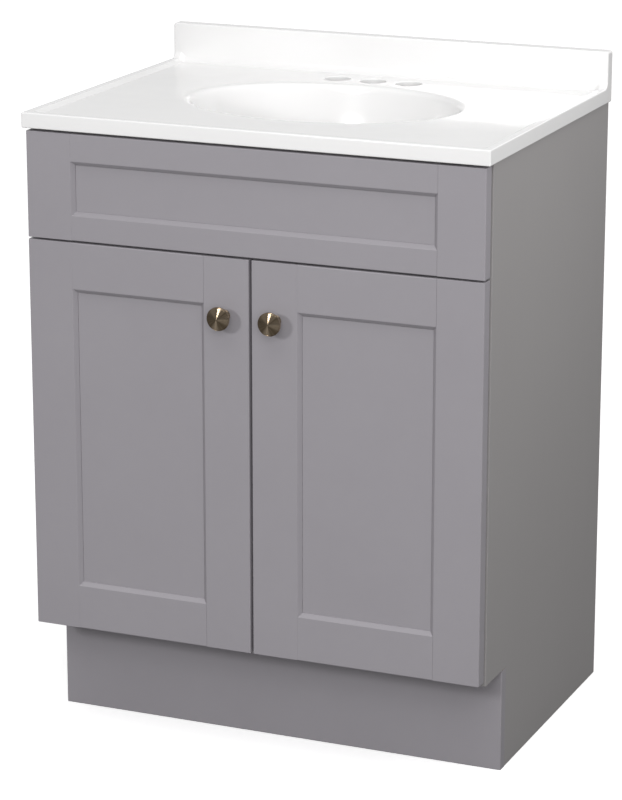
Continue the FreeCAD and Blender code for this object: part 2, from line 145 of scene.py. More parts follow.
def blendLevels(tree, along, span, low, high):
    # light level that goes from low to high as the direction crosses the span
    level = tree.nodes.new("ShaderNodeMapRange")
    level.interpolation_type = "SMOOTHSTEP"
    tree.links.new(along, level.inputs["Value"])
    for socket, value in zip(("From Min", "From Max", "To Min", "To Max"), (*span, low, high)):
        if isinstance(value, float):
            level.inputs[socket].default_value = value
        else:
            tree.links.new(value, level.inputs[socket])
    return level.outputs[0]


def makeWorld():
    world = bpy.data.worlds.new("studio")
    bpy.context.scene.world = world
    world.use_nodes = True
    tree = world.node_tree
    tree.nodes.clear()
    output = tree.nodes.new("ShaderNodeOutputWorld")
    chosen = tree.nodes.new("ShaderNodeMixShader")
    path = tree.nodes.new("ShaderNodeLightPath")
    lit = tree.nodes.new("ShaderNodeBackground")
    seen = tree.nodes.new("ShaderNodeBackground")
    seen.inputs["Color"].default_value = (1, 1, 1, 1)    # plain white behind the cabinet
    place = tree.nodes.new("ShaderNodeTexCoord")
    split = tree.nodes.new("ShaderNodeSeparateXYZ")
    tree.links.new(place.outputs["Generated"], split.inputs[0])
    up = split.outputs["Z"]
    back = split.outputs["Y"]
    level = blendLevels(tree, up, light["horizonBand"], light["skyBelow"], light["skyLevel"])
    level = blendLevels(tree, back, light["behindBand"], level, light["skyBehind"])
    level = blendLevels(tree, up, light["aboveBand"], level, light["skyAbove"])
    tree.links.new(level, lit.inputs["Strength"])
    tree.links.new(path.outputs["Is Camera Ray"], chosen.inputs[0])
    tree.links.new(lit.outputs[0], chosen.inputs[1])
    tree.links.new(seen.outputs[0], chosen.inputs[2])
    tree.links.new(chosen.outputs[0], output.inputs["Surface"])


def makeFloor():
    bpy.ops.mesh.primitive_plane_add(size=light["floorSize"], location=(0, 0, cadLow.z))
    floor = bpy.context.object
    floor.name = "studioFloor"
    material = bpy.data.materials.new("floorPaper")
    material.use_nodes = True
    tree = material.node_tree
    shader = tree.nodes["Principled BSDF"]
    shader.inputs["Base Color"].default_value = light["floorSeen"]
    shader.inputs["Roughness"].default_value = 0.9
    shader.inputs["Specular IOR Level"].default_value = 0.1
    shader.inputs["Emission Color"].default_value = (1, 1, 1, 1)
    shader.inputs["Emission Strength"].default_value = light["floorGlow"]
    # what falls back on the cabinet is dimmer than the paper looks
    dim = tree.nodes.new("ShaderNodeBsdfDiffuse")
    dim.inputs["Color"].default_value = light["floorBounce"]
    path = tree.nodes.new("ShaderNodeLightPath")
    chosen = tree.nodes.new("ShaderNodeMixShader")
    tree.links.new(path.outputs["Is Camera Ray"], chosen.inputs[0])
    tree.links.new(dim.outputs[0], chosen.inputs[1])
    tree.links.new(shader.outputs[0], chosen.inputs[2])
    tree.links.new(chosen.outputs[0], tree.nodes["Material Output"].inputs["Surface"])
    floor.data.materials.append(material)


makeCamera()
for name in ("key", "fill", "side"):
    addSoftbox(name)
addTopLight()
makeWorld()
makeFloor()
bpy.context.scene.view_settings.view_transform = "Standard"
print("camera, light and floor made")


# materials: every one reads the object's own space
def newMaterial(name):
    material = bpy.data.materials.new(name)
    material.use_nodes = True
    nodeTree = material.node_tree
    return material, nodeTree, nodeTree.nodes["Principled BSDF"]


def addNoise(tree, scale, detail=3.0, stretch=(1, 1, 1)):
    # noise in the object's own space
    place = tree.nodes.new("ShaderNodeTexCoord")
    mapping = tree.nodes.new("ShaderNodeMapping")
    mapping.inputs["Scale"].default_value = stretch
    noise = tree.nodes.new("ShaderNodeTexNoise")
    noise.inputs["Scale"].default_value = scale
    noise.inputs["Detail"].default_value = detail
    tree.links.new(place.outputs["Object"], mapping.inputs["Vector"])
    tree.links.new(mapping.outputs["Vector"], noise.inputs["Vector"])
    return noise.outputs["Fac"]


def addRamp(tree, value, low, high, colorLow, colorHigh):
    ramp = tree.nodes.new("ShaderNodeValToRGB")
    ramp.color_ramp.elements[0].position = low
    ramp.color_ramp.elements[1].position = high
    ramp.color_ramp.elements[0].color = (*colorLow, 1)
    ramp.color_ramp.elements[1].color = (*colorHigh, 1)
    tree.links.new(value, ramp.inputs["Fac"])
    return ramp.outputs["Color"]


def addRange(tree, value, low, high):
    remap = tree.nodes.new("ShaderNodeMapRange")
    remap.inputs["To Min"].default_value = low
    remap.inputs["To Max"].default_value = high
    tree.links.new(value, remap.inputs["Value"])
    return remap.outputs[0]


def addBump(tree, shader, height, strength, distance, before=None):
    bump = tree.nodes.new("ShaderNodeBump")
    bump.inputs["Strength"].default_value = strength
    bump.inputs["Distance"].default_value = distance
    tree.links.new(height, bump.inputs["Height"])
    if before is not None:
        tree.links.new(before, bump.inputs["Normal"])
    tree.links.new(bump.outputs["Normal"], shader.inputs["Normal"])
    return bump.outputs["Normal"]


def mixColors(tree, share, first, second, kind="MIX"):
    mix = tree.nodes.new("ShaderNodeMix")
    mix.data_type = "RGBA"
    mix.blend_type = kind
    if isinstance(share, float):
        mix.inputs["Factor"].default_value = share
    else:
        tree.links.new(share, mix.inputs["Factor"])
    tree.links.new(first, mix.inputs[6])    # the colour sockets of a Mix node
    tree.links.new(second, mix.inputs[7])
    return mix.outputs[2]


# tones run from the dark end to the light end, gloss from smooth to rough
looks = {
    "paint": {
        "tones": ((0.305, 0.290, 0.313), (0.314, 0.299, 0.322)),
        "worn": ((0.975, 0.975, 0.975), (1.0, 1.0, 1.0)),
        "gloss": (0.40, 0.56),
    },
    "foil": {
        "grainTones": ((0.303, 0.291, 0.290), (0.319, 0.307, 0.307)),
        "cloudTones": ((0.305, 0.293, 0.292), (0.316, 0.305, 0.304)),
        "gloss": (0.46, 0.60),
    },
    "melamine": {
        "tones": ((0.70, 0.69, 0.665), (0.76, 0.75, 0.73)),
        "gloss": (0.38, 0.52),
    },
    "chips": {
        "tones": ((0.27, 0.17, 0.09), (0.60, 0.45, 0.29)),
        "dust": ((0.30, 0.20, 0.11), (0.55, 0.41, 0.26)),
        "gloss": 0.88,
    },
    "marble": {
        "tones": ((0.855, 0.850, 0.848), (0.875, 0.871, 0.869)),
        "gloss": (0.13, 0.24),
        "gelCoat": 0.5,
    },
    "castBack": {
        "tones": ((0.60, 0.585, 0.55), (0.76, 0.75, 0.72)),
        "gloss": 0.8,
    },
    "beech": {
        "tones": ((0.50, 0.33, 0.18), (0.68, 0.49, 0.30)),
        "gloss": 0.7,
    },
}


# the grey of the fronts: a wrapped satin film, fine orange peel, a little cloudiness
def greyPaint():
    look = looks["paint"]
    material, tree, shader = newMaterial("greyPaint")
    tone = addRamp(tree, addNoise(tree, 7, 4), 0.3, 0.7, *look["tones"])
    worn = addRamp(tree, addNoise(tree, 60, 6), 0.35, 0.75, *look["worn"])
    tree.links.new(mixColors(tree, 0.5, tone, worn, "MULTIPLY"), shader.inputs["Base Color"])
    tree.links.new(addRange(tree, addNoise(tree, 35, 5), *look["gloss"]), shader.inputs["Roughness"])
    shader.inputs["Specular IOR Level"].default_value = 0.42
    shader.inputs["Coat Weight"].default_value = 0.08
    shader.inputs["Coat Roughness"].default_value = 0.25
    waves = addBump(tree, shader, addNoise(tree, 90, 2), 0.10, 0.0004)
    addBump(tree, shader, addNoise(tree, 900, 3), 0.12, 0.00012, waves)
    return material


# printed foil over the side panels: the same grey, warmer, with a faint vertical grain
def greyFoil():
    look = looks["foil"]
    material, tree, shader = newMaterial("greyFoil")
    grain = addNoise(tree, 60, 8, (1, 6, 0.16))    # stretched along the height
    fine = addRamp(tree, grain, 0.25, 0.75, *look["grainTones"])
    broad = addRamp(tree, addNoise(tree, 5, 3), 0.3, 0.7, *look["cloudTones"])
    tree.links.new(mixColors(tree, 0.5, fine, broad), shader.inputs["Base Color"])
    tree.links.new(addRange(tree, grain, *look["gloss"]), shader.inputs["Roughness"])
    shader.inputs["Specular IOR Level"].default_value = 0.4
    waves = addBump(tree, shader, addNoise(tree, 70, 2), 0.08, 0.0004)
    addBump(tree, shader, addNoise(tree, 420, 6, (1, 4, 0.10)), 0.12, 0.0001, waves)
    return material


# melamine inside the box: off white with a pearl texture
def whiteBoard():
    look = looks["melamine"]
    material, tree, shader = newMaterial("whiteBoard")
    tone = addRamp(tree, addNoise(tree, 9, 5), 0.3, 0.72, *look["tones"])
    tree.links.new(tone, shader.inputs["Base Color"])
    tree.links.new(addRange(tree, addNoise(tree, 50, 4), *look["gloss"]), shader.inputs["Roughness"])
    addBump(tree, shader, addNoise(tree, 700, 4), 0.22, 0.00012)
    return material


# cut edges of particle board: pressed chips of several browns
def rawBoard():
    look = looks["chips"]
    material, tree, shader = newMaterial("rawBoard")
    place = tree.nodes.new("ShaderNodeTexCoord")
    chips = tree.nodes.new("ShaderNodeTexVoronoi")
    chips.inputs["Scale"].default_value = 420
    tree.links.new(place.outputs["Object"], chips.inputs["Vector"])
    split = tree.nodes.new("ShaderNodeSeparateColor")
    tree.links.new(chips.outputs["Color"], split.inputs[0])
    chipTone = addRamp(tree, split.outputs[0], 0.1, 0.9, *look["tones"])
    dust = addRamp(tree, addNoise(tree, 1500, 3), 0.35, 0.7, *look["dust"])
    tone = mixColors(tree, addNoise(tree, 240, 2), chipTone, dust)
    tree.links.new(tone, shader.inputs["Base Color"])
    shader.inputs["Roughness"].default_value = look["gloss"]
    shader.inputs["Specular IOR Level"].default_value = 0.2
    addBump(tree, shader, chips.outputs["Distance"], 0.5, 0.0006)
    return material


# cast marble under a clear gel coat: near white, soft clouding, a slow ripple in the gloss
def castMarble():
    look = looks["marble"]
    material, tree, shader = newMaterial("castMarble")
    tone = addRamp(tree, addNoise(tree, 6, 5), 0.32, 0.7, *look["tones"])
    tree.links.new(tone, shader.inputs["Base Color"])
    tree.links.new(addRange(tree, addNoise(tree, 26, 4), *look["gloss"]), shader.inputs["Roughness"])
    shader.inputs["Coat Weight"].default_value = look["gelCoat"]
    shader.inputs["Coat Roughness"].default_value = 0.06
    shader.inputs["Subsurface Weight"].default_value = 0.05
    shader.inputs["Subsurface Radius"].default_value = (1.0, 0.95, 0.9)
    shader.inputs["Subsurface Scale"].default_value = 0.004
    ripple = addBump(tree, shader, addNoise(tree, 14, 2), 0.06, 0.002)
    addBump(tree, shader, addNoise(tree, 600, 2), 0.04, 0.0001, ripple)
    return material


# unglazed underside of the casting: chalky resin with trowel marks
def castBack():
    look = looks["castBack"]
    material, tree, shader = newMaterial("castBack")
    tone = addRamp(tree, addNoise(tree, 22, 8), 0.3, 0.75, *look["tones"])
    tree.links.new(tone, shader.inputs["Base Color"])
    shader.inputs["Roughness"].default_value = look["gloss"]
    rough = addBump(tree, shader, addNoise(tree, 45, 6, (1, 3, 1)), 0.35, 0.002)
    addBump(tree, shader, addNoise(tree, 380, 5), 0.4, 0.0005, rough)
    return material


# pressed or plated steel: faint rolling lines, cloudy plating
def platedSteel(name, low, high, roughness):
    material, tree, shader = newMaterial(name)
    tone = addRamp(tree, addNoise(tree, 120, 5), 0.3, 0.7, low, high)
    tree.links.new(tone, shader.inputs["Base Color"])
    shader.inputs["Metallic"].default_value = 1
    lines = addNoise(tree, 900, 3, (1, 0.1, 1))
    tree.links.new(addRange(tree, lines, roughness - 0.07, roughness + 0.09), shader.inputs["Roughness"])
    addBump(tree, shader, lines, 0.12, 0.00006)
    return material


def mouldedPlastic(name, low, high, roughness, clear=0.0):
    material, tree, shader = newMaterial(name)
    tone = addRamp(tree, addNoise(tree, 80, 4), 0.3, 0.7, low, high)
    tree.links.new(tone, shader.inputs["Base Color"])
    tree.links.new(addRange(tree, addNoise(tree, 200, 3), roughness - 0.06, roughness + 0.08),
                   shader.inputs["Roughness"])
    shader.inputs["Transmission Weight"].default_value = clear
    shader.inputs["IOR"].default_value = 1.48
    addBump(tree, shader, addNoise(tree, 1200, 3), 0.25, 0.00008)
    return material


def beechWood():
    look = looks["beech"]
    material, tree, shader = newMaterial("beechWood")
    grain = addNoise(tree, 700, 6, (0.08, 1, 1))
    tone = addRamp(tree, grain, 0.3, 0.72, *look["tones"])
    tree.links.new(tone, shader.inputs["Base Color"])
    shader.inputs["Roughness"].default_value = look["gloss"]
    addBump(tree, shader, grain, 0.3, 0.0002)
    return material


finishes = {
    "grey_paint": greyPaint(),
    "grey_foil": greyFoil(),
    "white_board": whiteBoard(),
    "rawBoard": rawBoard(),
    "cast_marble": castMarble(),
    "castBack": castBack(),
    "nickel_steel": platedSteel("nickelSteel", (0.55, 0.53, 0.50), (0.66, 0.64, 0.61), 0.30),
    "zinc_steel": platedSteel("zincSteel", (0.52, 0.54, 0.57), (0.66, 0.67, 0.69), 0.36),
    "white_nylon": mouldedPlastic("whiteNylon", (0.74, 0.74, 0.72), (0.80, 0.80, 0.78), 0.42),
    "clear_rubber": mouldedPlastic("clearRubber", (0.82, 0.82, 0.80), (0.88, 0.88, 0.86), 0.35, 0.6),
    "beech": beechWood(),
}
print("finishes made:", len(finishes))


# small helpers for shaping by selection
def deselect():
    bpy.ops.object.select_all(action="DESELECT")


def activate(piece):
    deselect()
    piece.select_set(True)
    bpy.context.view_layer.objects.active = piece


def settle(piece):
    # put the piece's place, turn and size into its mesh
    activate(piece)
    bpy.ops.object.transform_apply(location=True, rotation=True, scale=True)


def pickEdges(piece, test):
    # in edit mode, select the edges that pass the test
    bpy.ops.mesh.select_mode(type="EDGE")
    bpy.ops.mesh.select_all(action="DESELECT")
    mesh = bmesh.from_edit_mesh(piece.data)
    for edge in mesh.edges:
        edge.select_set(test(edge))
    bmesh.update_edit_mesh(piece.data)


def pickVerts(piece, test):
    bpy.ops.mesh.select_mode(type="VERT")
    bpy.ops.mesh.select_all(action="DESELECT")
    mesh = bmesh.from_edit_mesh(piece.data)
    for vert in mesh.verts:
        vert.select_set(test(vert.co))
    mesh.select_flush_mode()
    bmesh.update_edit_mesh(piece.data)


def extrudeStep(move, scale=(1, 1, 1), about=(0, 0, 0)):
    bpy.ops.mesh.extrude_edges_move(TRANSFORM_OT_translate={"value": move})
    if tuple(scale) != (1, 1, 1):
        bpy.ops.transform.resize(value=scale, center_override=about)


def useModifier(piece, kind, **values):
    modifier = piece.modifiers.new(kind.lower(), kind)
    for key, value in values.items():
        setattr(modifier, key, value)
    activate(piece)
    bpy.ops.object.modifier_apply(modifier=modifier.name)


def easeEdges(piece, width, segments=2, angle=35):
    useModifier(piece, "BEVEL", width=width, segments=segments, limit_method="ANGLE",
                angle_limit=math.radians(angle), use_clamp_overlap=False)


def smooth(piece, angle=40, weighted=True):
    activate(piece)
    bpy.ops.object.shade_smooth_by_angle(angle=math.radians(angle))
    if weighted:
        useModifier(piece, "WEIGHTED_NORMAL", keep_sharp=True, weight=80)


def handOver(piece, name, node):
    # the finished piece rides on its node's body and stands in for the node
    piece.name = name
    piece.data.name = name
    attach(piece, nodes[node]["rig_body"])
    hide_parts(node)


# cast top with its bowl, in metres
top = {
    "rim": 0.009,
    "ramp": ((0.0010, 0.0), (0.0024, 0.0003), (0.0048, 0.00225), (0.0072, 0.0042), (0.0090, 0.0045)),
    "deckDrop": 0.0045,
    "cornerRound": 0.007,
    "cornerSteps": 6,
    "thickness": 0.0197,
    "splashDepth": 0.0183,
    "cove": 0.009,
    "coveSteps": 8,
    "splashCorner": 0.0035,
    "splashCornerSteps": 4,
    "edgeRound": 0.0016,
    "edgeSteps": 3,
    "edgeAngle": 50,
    "smoothAngle": 45,
    "bowlHalf": (0.178, 0.128),
    "bowlToWall": 0.227,
    "bowlDeep": 0.133,
    "bowlRoundness": 144,
    # share of the bowl's half width that is left at each share of its depth
    "bowlSide": ((1.0, 0.072), (0.982, 0.20), (0.955, 0.36), (0.905, 0.53), (0.83, 0.68),
                 (0.715, 0.82), (0.58, 0.91), (0.44, 0.965), (0.3, 0.992)),
    "bowlSteps": 3,
    # the lip: share of its width, and drop as a share of the same width
    "lipWide": 0.012,
    "lipFlat": 1.2,
    "lip": ((0.80, 0.006), (0.60, 0.03), (0.43, 0.085), (0.28, 0.18), (0.15, 0.32), (0.06, 0.50)),
    "shell": 0.008,
    "shellStart": 0.004,
    # the dish round the drain: how far past the drain in x and y, and its drop
    "drainRadius": 0.0222,
    "drainDish": ((0.009, 0.008, 0.0001), (0.003, 0.003, 0.0002), (0.001, 0.001, 0.0008), (0, 0, 0.0022)),
    "glazeEdge": 0.001,
    "bossRadius": 0.034,
    "bossHeight": 0.006,
    "bossSunk": 0.0006,
    "holeRadius": 0.01745,
    "holeEase": 0.0014,
    "holeEaseSteps": 4,
    "holeRoundness": 64,
    "holeApart": 0.0508,
    "holesToWall": 0.061,
}


def curveThrough(points, steps):
    # a smooth line through the points, as more points
    padded = [points[0]] + list(points) + [points[-1]]
    line = []
    for i in range(1, len(padded) - 2):
        before, start, end, after = (Vector(p) for p in padded[i - 1:i + 3])
        for k in range(steps):
            t = k / steps
            line.append(0.5 * (2 * start + (end - before) * t
                               + (2 * before - 5 * start + 4 * end - after) * t ** 2
                               + (3 * start - before - 3 * end + after) * t ** 3))
    line.append(Vector(padded[-1]))
    return line


def loopThrough(centre, rings):
    # extrude the selected ring through rings of (half width, half depth, height)
    last = rings[0]
    for ring in rings[1:]:
        scale = (ring[0] / last[0], ring[1] / last[1], 1)
        extrudeStep((0, 0, ring[2] - last[2]), scale, (centre[0], centre[1], ring[2]))
        last = ring


def lipRings(deck):
    # a flat ring on the deck first, so that the lip's shading starts level
    halfX, halfY = top["bowlHalf"]
    lip = top["lipWide"]
    shares = [(top["lipFlat"], 0), (1, 0)] + list(top["lip"])
    return [(halfX + lip * share, halfY + lip * share, deck - lip * down) for share, down in shares]


def sideRings(deck):
    halfX, halfY = top["bowlHalf"]
    line = curveThrough(top["bowlSide"], top["bowlSteps"])
    return [(halfX * share, halfY * share, deck - top["bowlDeep"] * depth) for share, depth in line]


def makeBowl(deck, under):
    # lip, bowl, drain, boss, and back up the outside of the shell
    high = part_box("vanity_top")[1]
    centre = (0, high.y - top["bowlToWall"])
    halfX, halfY = top["bowlHalf"]
    seat = deck - top["bowlDeep"]
    drain = top["drainRadius"]
    boss = top["bossRadius"]
    shell = top["shell"]
    bossEnd = seat - shell - top["bossHeight"]
    inner = sideRings(deck)
    rings = lipRings(deck) + inner
    rings += [(drain + pastX, drain + pastY, seat - down) for pastX, pastY, down in top["drainDish"]]
    rings += [(drain, drain, bossEnd), (boss, boss, bossEnd)]
    rings.append((boss, boss, seat - shell + top["bossSunk"]))
    outer = [(x + shell, y + shell, z - shell) for x, y, z in inner[:-2:top["bowlSteps"]]]
    rings += [ring for ring in reversed(outer) if ring[2] < under - top["shellStart"]]
    rings.append((halfX + shell, halfY + shell, under))
    bpy.ops.mesh.primitive_circle_add(vertices=top["bowlRoundness"], radius=1, location=(*centre, deck))
    bowl = bpy.context.object
    bowl.scale = (rings[0][0], rings[0][1], 1)
    settle(bowl)
    bpy.ops.object.mode_set(mode="EDIT")
    bpy.ops.mesh.select_all(action="SELECT")
    loopThrough(centre, rings)
    bpy.ops.object.mode_set(mode="OBJECT")
    return bowl


def makeFaucetHole(x, deck, under):
    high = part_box("vanity_top")[1]
    centre = (x, high.y - top["holesToWall"])
    radius = top["holeRadius"]
    ease = top["holeEase"]
    rings = [(radius + 2 * ease, radius + 2 * ease, deck), (radius + ease, radius + ease, deck)]
    for step in range(top["holeEaseSteps"]):
        angle = math.radians(90 * (step + 1) / top["holeEaseSteps"])
        grown = radius + ease * (1 - math.sin(angle))
        rings.append((grown, grown, deck - ease * (1 - math.cos(angle))))
    rings.append((radius, radius, under))
    bpy.ops.mesh.primitive_circle_add(vertices=top["holeRoundness"], radius=rings[0][0],
                                      location=(*centre, deck))
    hole = bpy.context.object
    settle(hole)
    bpy.ops.object.mode_set(mode="EDIT")
    bpy.ops.mesh.select_all(action="SELECT")
    loopThrough(centre, rings)
    bpy.ops.object.mode_set(mode="OBJECT")
    return hole


def deckEnd(high):
    # where the deck stops and the cove of the backsplash starts
    return high.y - top["splashDepth"] - top["cove"]


def makeSlab(low, high, rim, deck):
    # deck outline, ramp, rim, sides, cove and backsplash, open where deck and underside go
    inset = top["rim"] + top["ramp"][-1][0]
    halfX = high.x - inset
    front = low.y + inset
    coveStart = deckEnd(high)
    bpy.ops.mesh.primitive_plane_add(size=1, location=(0, (front + coveStart) / 2, deck))
    slab = bpy.context.object
    slab.scale = (2 * halfX, coveStart - front, 1)
    settle(slab)
    bpy.ops.object.mode_set(mode="EDIT")
    bpy.ops.mesh.select_mode(type="FACE")
    bpy.ops.mesh.select_all(action="SELECT")
    bpy.ops.mesh.delete(type="ONLY_FACE")
    pickVerts(slab, lambda p: p.y < front + tiny)
    bpy.ops.mesh.bevel(offset=top["cornerRound"], segments=top["cornerSteps"], affect="VERTICES")
    pickEdges(slab, lambda e: min(e.verts[0].co.y, e.verts[1].co.y) < coveStart - tiny)
    out, up = 0.0, 0.0
    for wide, height in list(top["ramp"]) + [(inset, top["deckDrop"])]:
        wideNow = halfX + out
        deepNow = coveStart - front + out
        step = wide - out
        extrudeStep((0, 0, height - up), ((wideNow + step) / wideNow, (deepNow + step) / deepNow, 1),
                    (0, coveStart, deck + height))
        out, up = wide, height
    squareFrontCorners(slab, low, high, rim)
    pickEdges(slab, lambda e: e.is_boundary and all(
        abs(v.co.z - rim) < tiny and (abs(abs(v.co.x) - high.x) < tiny or abs(v.co.y - low.y) < tiny)
        for v in e.verts))
    extrudeStep((0, 0, -top["thickness"]))
    raiseSplash(slab, high, rim, coveStart)
    for side in (-1, 1):
        pickEdges(slab, lambda e: e.is_boundary and all(
            abs(v.co.x - side * high.x) < tiny and v.co.y > coveStart - tiny for v in e.verts))
        bpy.ops.mesh.edge_face_add()
    bpy.ops.object.mode_set(mode="OBJECT")
    return slab


def squareFrontCorners(slab, low, high, rim):
    # the rim's outer corners are square, its inner ones stay round
    reach = top["cornerRound"] * 1.25    # takes in the whole rounded corner
    for side in (-1, 1):
        corner = Vector((side * high.x, low.y, rim))
        pickVerts(slab, lambda p: (p - corner).length < top["rim"] and (
            abs(p.x - corner.x) + abs(p.y - corner.y) < reach))
        bpy.ops.mesh.merge(type="CENTER")
        mesh = bmesh.from_edit_mesh(slab.data)
        merged = min(mesh.verts, key=lambda v: (v.co - corner).length)
        bpy.ops.transform.translate(value=corner - merged.co)


def extrudeToLevel(z):
    # a step of any height, flattened onto the level
    extrudeStep((0, 0, 0.02), (1, 1, 0), (0, 0, z))


def raiseSplash(slab, high, rim, coveStart):
    # up the cove and the splash, over its top and down the back
    radius = top["cove"]
    steps = top["coveSteps"]
    lowest = rim - top["deckDrop"] - tiny
    pickEdges(slab, lambda e: all(abs(v.co.y - coveStart) < tiny and v.co.z > lowest for v in e.verts))
    for k in range(steps):
        now = math.radians(90 * k / steps)
        then = math.radians(90 * (k + 1) / steps)
        back = radius * (math.sin(then) - math.sin(now))
        up = radius * (math.cos(now) - math.cos(then))
        extrudeStep((0, back, up))
    extrudeToLevel(high.z)
    extrudeStep((0, top["splashDepth"], 0))
    extrudeToLevel(rim - top["thickness"])


def fillLevel(piece, z, inside):
    # fill between all open loops at one level
    pickEdges(piece, lambda e: len(e.link_faces) < 2 and all(
        abs(v.co.z - z) < tiny and inside(v.co) for v in e.verts))
    bpy.ops.mesh.fill(use_beauty=True)


def makeTop():
    low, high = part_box("vanity_top")
    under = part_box("side_panel_left")[1].z
    rim = under + top["thickness"]
    deck = rim - top["deckDrop"]
    slab = makeSlab(low, high, rim, deck)
    bowl = makeBowl(deck, under)
    holes = [makeFaucetHole(step * top["holeApart"], deck, under) for step in (-1, 0, 1)]
    activate(slab)
    for other in [bowl] + holes:
        other.select_set(True)
    bpy.ops.object.join()
    coveStart = deckEnd(high)
    bpy.ops.object.mode_set(mode="EDIT")
    fillLevel(slab, deck, lambda p: p.y < coveStart + tiny)
    fillLevel(slab, under, lambda p: True)
    bpy.ops.mesh.select_all(action="SELECT")
    bpy.ops.mesh.remove_doubles(threshold=tiny)
    bpy.ops.mesh.normals_make_consistent(inside=False)
    pickEdges(slab, lambda e: all(abs(abs(v.co.x) - high.x) < tiny and abs(v.co.z - high.z) < tiny
                                  for v in e.verts))
    bpy.ops.mesh.bevel(offset=top["splashCorner"], segments=top["splashCornerSteps"], affect="EDGES")
    bpy.ops.object.mode_set(mode="OBJECT")
    easeEdges(slab, top["edgeRound"], top["edgeSteps"], top["edgeAngle"])
    smooth(slab, top["smoothAngle"])
    slab.data.materials.append(finishes["cast_marble"])
    slab.data.materials.append(finishes["castBack"])
    for face in slab.data.polygons:
        below = face.center.z < under + tiny and face.normal.z < 0.2
        face.material_index = 1 if below and not insideBowl(face, high) else 0
    handOver(slab, "vanityTop", "vanity_top")


def insideBowl(face, high):
    # true on the glazed side of the bowl, whose faces look at its axis
    toAxis = Vector((0, high.y - top["bowlToWall"], face.center.z)) - face.center
    pastDrain = toAxis.length > top["drainRadius"] + top["glazeEdge"]
    return pastDrain and face.normal.dot(toAxis) > 0


makeTop()
print("top made")


# knobs: (radius, distance from the door) in millimetres
knob = {
    "profile": ((7.5, 0), (7.5, 1.2), (6.2, 2.4), (5.4, 6), (5.6, 10), (7.5, 13.5), (11.5, 16.2),
                (14.4, 17.6), (15, 19.2), (15, 20.7), (14.75, 21.25), (14.2, 21.45), (13.9, 21.3),
                (13.5, 21.75), (8, 23.45), (2.2, 24.85), (0.4, 25)),
    "steps": 4,
    "around": 96,
    # color and shade: the light and dark ends of the painted reflection sectors round the knob's face
    "color": (0.52, 0.415, 0.30),
    "shade": (0.25, 0.19, 0.125),
    "ringShade": (0.90, 0.90, 0.90),
    "gloss": (0.20, 0.25),
    "spun": 1.0,
    "smoothAngle": 50,
}


# spun nickel: fine rings round the knob's axis, which runs along y, and a painted reflection in its
# colour: broad lighter and darker sectors running out from the axis
def spunNickel(name, centre):
    material, tree, shader = newMaterial(name)
    place = tree.nodes.new("ShaderNodeTexCoord")
    centred = tree.nodes.new("ShaderNodeMapping")
    centred.inputs["Location"].default_value = [-c for c in centre]
    tree.links.new(place.outputs["Object"], centred.inputs["Vector"])
    flat = tree.nodes.new("ShaderNodeVectorMath")
    flat.operation = "MULTIPLY"
    flat.inputs[1].default_value = (1, 0, 1)
    tree.links.new(centred.outputs["Vector"], flat.inputs[0])
    distance = tree.nodes.new("ShaderNodeVectorMath")
    distance.operation = "LENGTH"
    tree.links.new(flat.outputs[0], distance.inputs[0])
    rings = tree.nodes.new("ShaderNodeTexNoise")
    rings.noise_dimensions = "1D"
    rings.inputs["Scale"].default_value = 3200
    rings.inputs["Detail"].default_value = 2
    tree.links.new(distance.outputs["Value"], rings.inputs["W"])
    turn = tree.nodes.new("ShaderNodeVectorMath")
    turn.operation = "NORMALIZE"
    tree.links.new(flat.outputs[0], turn.inputs[0])
    paintedReflectionSectors = tree.nodes.new("ShaderNodeTexNoise")
    paintedReflectionSectors.inputs["Scale"].default_value = 1.7
    paintedReflectionSectors.inputs["Detail"].default_value = 5
    tree.links.new(turn.outputs[0], paintedReflectionSectors.inputs["Vector"])
    # painted reflection: the base colour goes lighter and darker by the angle round the axis, standing in
    # for light and dark surroundings seen in the spun metal
    tone = addRamp(tree, paintedReflectionSectors.outputs["Fac"], 0.38, 0.62, knob["shade"], knob["color"])
    ringTone = addRamp(tree, rings.outputs[0], 0.3, 0.7, knob["ringShade"], (1, 1, 1))
    tree.links.new(mixColors(tree, 0.6, tone, ringTone, "MULTIPLY"), shader.inputs["Base Color"])
    shader.inputs["Metallic"].default_value = 1
    tree.links.new(addRange(tree, addNoise(tree, 260, 4), *knob["gloss"]), shader.inputs["Roughness"])
    shader.inputs["Anisotropic"].default_value = knob["spun"]
    shader.inputs["Anisotropic Rotation"].default_value = 0.25    # glints run from the centre outward
    around = tree.nodes.new("ShaderNodeTangent")
    around.direction_type = "RADIAL"
    around.axis = "Y"
    tree.links.new(around.outputs[0], shader.inputs["Tangent"])
    addBump(tree, shader, rings.outputs[0], 0.10, 0.00005)
    return material


def makeKnob(side):
    node = side + "_knob"
    low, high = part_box(node)
    centre = (low + high) / 2
    base = high.y
    line = [p / 1000 for p in curveThrough(knob["profile"], knob["steps"])]    # now in metres
    bpy.ops.mesh.primitive_circle_add(vertices=knob["around"], radius=line[0].x, fill_type="NGON",
                                      location=(centre.x, base, centre.z), rotation=(math.pi / 2, 0, 0))
    piece = bpy.context.object
    settle(piece)
    bpy.ops.object.mode_set(mode="EDIT")
    pickEdges(piece, lambda e: True)
    last = line[0]
    for point in line[1:]:
        grow = point.x / last.x
        extrudeStep((0, last.y - point.y, 0), (grow, 1, grow), (centre.x, base - point.y, centre.z))
        last = point
    bpy.ops.mesh.edge_face_add()
    bpy.ops.mesh.select_all(action="SELECT")
    bpy.ops.mesh.remove_doubles(threshold=tiny / 2)
    bpy.ops.mesh.normals_make_consistent(inside=False)
    bpy.ops.object.mode_set(mode="OBJECT")
    smooth(piece, knob["smoothAngle"], False)
    piece.data.materials.append(spunNickel(side + "KnobNickel", centre))
    handOver(piece, side + "Knob", node)


for side in ("left", "right"):
    makeKnob(side)
print("knobs made")


